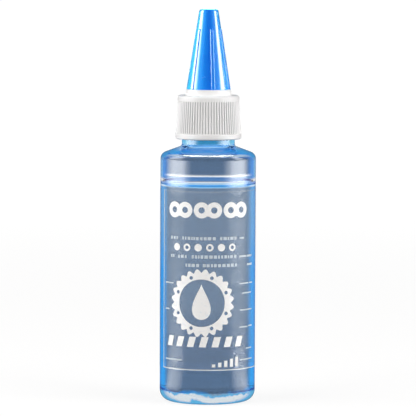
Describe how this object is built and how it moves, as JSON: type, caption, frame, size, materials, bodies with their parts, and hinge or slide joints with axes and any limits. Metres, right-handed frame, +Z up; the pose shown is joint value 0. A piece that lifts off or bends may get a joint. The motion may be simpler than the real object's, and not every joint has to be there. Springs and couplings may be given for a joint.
{
  "type": "chain lube bottle",
  "caption": "Slim clear squeeze bottle of chain lube with a wrap-round film label, a ribbed screw-on nozzle cap and a conical pull-off overcap.",
  "frame": {"origin": "centre of the ring that the bottle stands on, at the floor", "axes": "+Z up the bottle's axis towards the overcap, -Y towards the front of the label"},
  "size_m": [0.0336, 0.0336, 0.1377],
  "materials": {
    "clear_bottle": "clear gloss",
    "lube_oil": "clear liquid",
    "label_film": "clear film with white print",
    "washer_foam": "soft foam",
    "cap_white": "satin moulded",
    "overcap_blue": "gloss moulded"
  },
  "bodies": {
    "bottle_body": {"bottle": "clear_bottle", "lube_fill": "lube_oil", "clear_label": "label_film"},
    "washer_body": {"sealing_washer": "washer_foam"},
    "cap_body": {"nozzle_cap": "cap_white"},
    "overcap_body": {"overcap": "overcap_blue"}
  },
  "joints": [
    {"name": "cap_rise", "type": "slide", "parent": "bottle_body", "child": "washer_body", "axis": [0, 0, 1], "range_m": [0, 0.0045]},
    {"name": "cap_turn", "type": "hinge", "parent": "washer_body", "child": "cap_body", "pos_m": [0, 0, 0.1], "axis": [0, 0, 1], "range_deg": [0, 540]},
    {"name": "overcap_pull", "type": "slide", "parent": "cap_body", "child": "overcap_body", "axis": [0, 0, 1], "range_m": [0, 0.03]}
  ],
  "couplings": [
    {"joint": "cap_rise", "follows": "cap_turn", "m_per_rad": 0.00047746}
  ]
}
